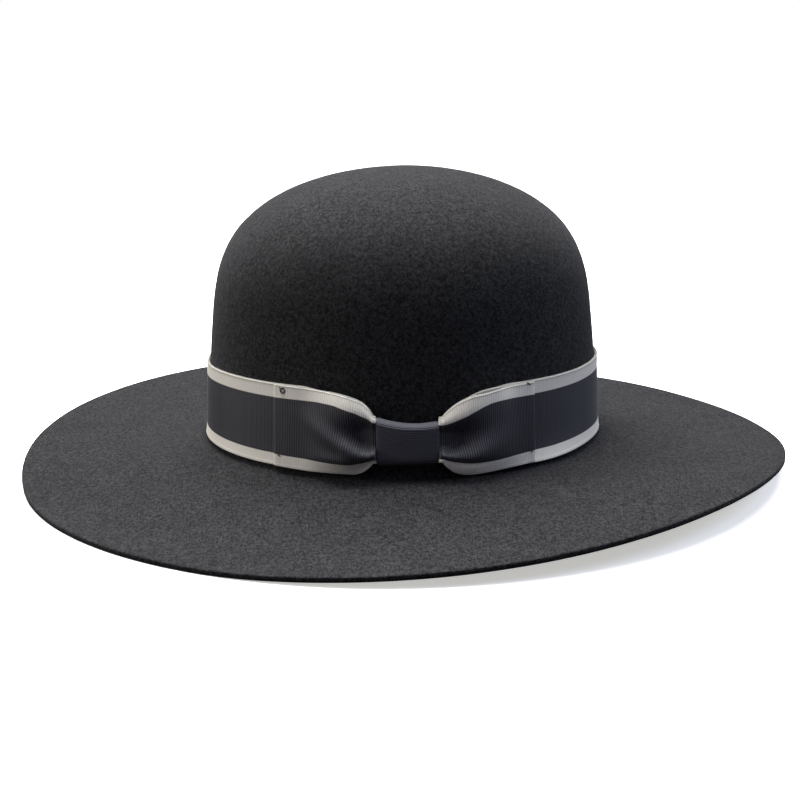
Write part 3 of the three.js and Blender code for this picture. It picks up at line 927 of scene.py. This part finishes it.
ply_colour = ramp_node(tree, ply, [(0.35, THREAD_DARK), (0.65, THREAD_LIGHT)])
tree.links.new(ply_colour, shader.inputs["Base Color"])
shader.inputs["Roughness"].default_value = 0.7
for tack in tacks:
    tack.data.materials.append(thread_material)
    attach(tack, "root")

# Studio
# A plain pale floor, soft light from above and both sides, and the camera at the photograph's
# place: 0.7 m in front of the hat, a little above it. Only the camera sees floor and world pale.
FLOOR_HALF = 30.0
FLOOR_BOUNCE = (0.03, 0.03, 0.035)
FLOOR_SEEN = (0.93, 0.93, 0.93)
FLOOR_GLOW = (0.50, 0.495, 0.475)
WORLD_LIGHT = (0.185, 0.185, 0.235)
WORLD_SEEN = (1.0, 1.0, 1.0)
DAYLIGHT = (1.0, 0.995, 0.98)
WARM = (1.0, 0.97, 0.90)
COOL = (0.66, 0.78, 1.0)
CAMERA_PLACE = (-0.00102, -0.700, 0.18085)
CAMERA_PITCH = 0.2206  # downwards
CAMERA_ROLL = -0.0154
CAMERA_LENS = 69.64  # mm, on a sensor 36 mm wide

floor_mesh = bpy.data.meshes.new("pale_floor")
floor_corners = [(x * FLOOR_HALF, y * FLOOR_HALF, 0) for x, y in ((-1, -1), (1, -1), (1, 1), (-1, 1))]
floor_mesh.from_pydata(floor_corners, [], [(0, 1, 2, 3)])
floor = bpy.data.objects.new("pale_floor", floor_mesh)
bpy.context.scene.collection.objects.link(floor)
floor_material = bpy.data.materials.new("pale_floor")
floor_material.use_nodes = True
tree = floor_material.node_tree
shader = tree.nodes["Principled BSDF"]
sight = tree.nodes.new("ShaderNodeLightPath").outputs["Is Camera Ray"]
tree.links.new(mix_colour(tree, sight, FLOOR_BOUNCE, FLOOR_SEEN), shader.inputs["Base Color"])
tree.links.new(mix_colour(tree, sight, (0.0, 0.0, 0.0), FLOOR_GLOW), shader.inputs["Emission Color"])
shader.inputs["Emission Strength"].default_value = 1.0
shader.inputs["Roughness"].default_value = 0.9
floor_mesh.materials.append(floor_material)


def lamp_of(name, kind, place, aim, energy, colour, size):
    """A lamp that points at a place. Size is a disc's width, or the sun's width as an angle."""
    data = bpy.data.lights.new(name, kind)
    data.energy = energy
    data.color = colour
    if kind == "AREA":
        data.shape = "DISK"
        data.size = size
    else:
        data.angle = size
    made = bpy.data.objects.new(name, data)
    made.location = place
    made.rotation_euler = (Vector(aim) - Vector(place)).to_track_quat("-Z", "Y").to_euler()
    bpy.context.scene.collection.objects.link(made)


lamp_of("overhead_sky", "SUN", (-0.1, 0.6, 2.0), (0, 0, 0), 4.8, DAYLIGHT, math.radians(60))
lamp_of("overhead_key", "AREA", (-0.12, 0.22, 0.80), (0, 0, 0.05), 12.5, DAYLIGHT, 0.6)
lamp_of("left_low", "AREA", (-1.1, -0.25, 0.35), (0, 0, 0.06), 4.4, WARM, 0.6)
lamp_of("right_soft", "AREA", (1.2, -0.1, 0.9), (0, 0, 0.06), 8.0, COOL, 0.8)

world = bpy.data.worlds.new("pale_studio")
bpy.context.scene.world = world
world.use_nodes = True
tree = world.node_tree
sight = tree.nodes.new("ShaderNodeLightPath").outputs["Is Camera Ray"]
tree.links.new(mix_colour(tree, sight, WORLD_LIGHT, WORLD_SEEN), tree.nodes["Background"].inputs[0])
bpy.context.scene.view_settings.view_transform = "Standard"

camera_data = bpy.data.cameras.new("photo_camera")
camera_data.lens = CAMERA_LENS
camera_data.sensor_width = 36.0
camera_data.clip_start = 0.01
camera = bpy.data.objects.new("photo_camera", camera_data)
camera.matrix_world = (
    Matrix.Translation(CAMERA_PLACE)
    @ Matrix.Rotation(math.pi / 2 - CAMERA_PITCH, 4, "X")
    @ Matrix.Rotation(CAMERA_ROLL, 4, "Z")
)
bpy.context.scene.collection.objects.link(camera)
bpy.context.scene.camera = camera
